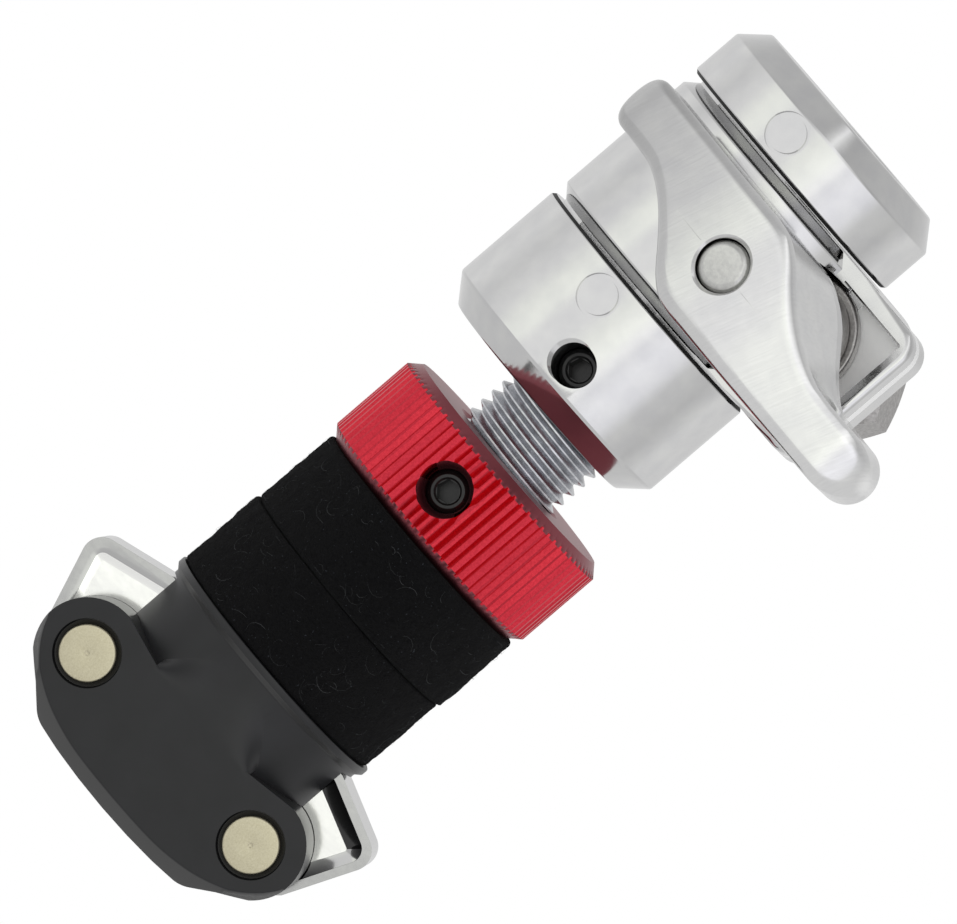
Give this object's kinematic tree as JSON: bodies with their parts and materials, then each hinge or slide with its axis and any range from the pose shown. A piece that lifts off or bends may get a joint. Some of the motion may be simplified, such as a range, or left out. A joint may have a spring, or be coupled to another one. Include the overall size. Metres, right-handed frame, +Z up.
{
  "type": "hi-hat clutch",
  "caption": "Quick-release hi-hat clutch: split rod clamp with a wing screw, threaded tube, knurled nut, felts and a release unit with squeeze levers.",
  "frame": {"origin": "centre of the rod clamp, on the pull rod's axis", "axes": "+Z up along the pull rod, +X along the clamp's ear, the wing on the -Y side"},
  "size_m": [0.0505, 0.0443, 0.0902],
  "materials": {
    "cast_chrome": "satin chrome on die-cast zinc",
    "zinc_steel": "zinc plated, turned",
    "black_screw": "black oxide",
    "bolt_steel": "plated steel",
    "red_anodised": "red anodised, straight knurled",
    "black_felt": "pressed wool felt",
    "dark_housing": "satin dark grey",
    "polished_chrome": "polished chrome",
    "pin_nickel": "turned nickel",
    "spring_steel": "spring wire"
  },
  "bodies": {
    "clamp": {"clamp_body": "cast_chrome", "threaded_tube": "zinc_steel", "hex_nut": "bolt_steel"},
    "body_screw": {"body_set_screw": "black_screw"},
    "washer": {"hub_washer": "bolt_steel"},
    "wing": {"wing_handle": "cast_chrome", "wing_bolt": "bolt_steel"},
    "felt_above": {"upper_felt": "black_felt"},
    "nut": {"adjust_nut": "red_anodised"},
    "nut_screw": {"nut_set_screw": "black_screw"},
    "release_unit": {"release_housing": "dark_housing", "lower_felt": "black_felt", "left_pin": "pin_nickel", "right_pin": "pin_nickel", "left_spring": "spring_steel", "right_spring": "spring_steel"},
    "lever_left": {"left_lever": "polished_chrome", "left_jaw": "bolt_steel"},
    "lever_right": {"right_lever": "polished_chrome", "right_jaw": "bolt_steel"}
  },
  "joints": [
    {"name": "body_screw_turn", "type": "hinge", "parent": "clamp", "child": "body_screw", "pos_m": [0, 0, -0.0167], "axis": [0.1392, -0.9903, 0], "continuous": true},
    {"name": "washer_slide", "type": "slide", "parent": "clamp", "child": "washer", "axis": [0, -1, 0], "range_m": [0, 0.00175]},
    {"name": "wing_turn", "type": "hinge", "parent": "washer", "child": "wing", "pos_m": [0.0097, 0, 0], "axis": [0, -1, 0], "range_deg": [0, 640]},
    {"name": "felt_lift", "type": "slide", "parent": "clamp", "child": "felt_above", "axis": [0, 0, 1], "range_m": [0, 0.00438]},
    {"name": "nut_turn", "type": "hinge", "parent": "felt_above", "child": "nut", "pos_m": [0, 0, -0.0326], "axis": [0, 0, 1], "range_deg": [0, 1280]},
    {"name": "nut_screw_turn", "type": "hinge", "parent": "nut", "child": "nut_screw", "pos_m": [0, 0, -0.0326], "axis": [0.225, -0.9744, 0], "continuous": true},
    {"name": "unit_pull_off", "type": "slide", "parent": "clamp", "child": "release_unit", "axis": [0, 0, -1], "range_m": [0, 0.03]},
    {"name": "left_squeeze", "type": "hinge", "parent": "release_unit", "child": "lever_left", "pos_m": [-0.01057, -0.00385, -0.0664], "axis": [-0.342, 0.9397, 0], "range_deg": [0, 14], "stiffness_Nm_per_rad": 0.12, "springref_deg": -17.19, "deforming": ["left_spring"]},
    {"name": "right_squeeze", "type": "hinge", "parent": "release_unit", "child": "lever_right", "pos_m": [0.01057, 0.00385, -0.0664], "axis": [0.342, -0.9397, 0], "range_deg": [0, 14], "stiffness_Nm_per_rad": 0.12, "springref_deg": -17.19, "deforming": ["right_spring"]}
  ],
  "couplings": [
    {"joint": "wing_turn", "follows": "washer_slide", "rad_per_m": 6283.2},
    {"joint": "nut_turn", "follows": "felt_lift", "rad_per_m": 5026.5}
  ]
}
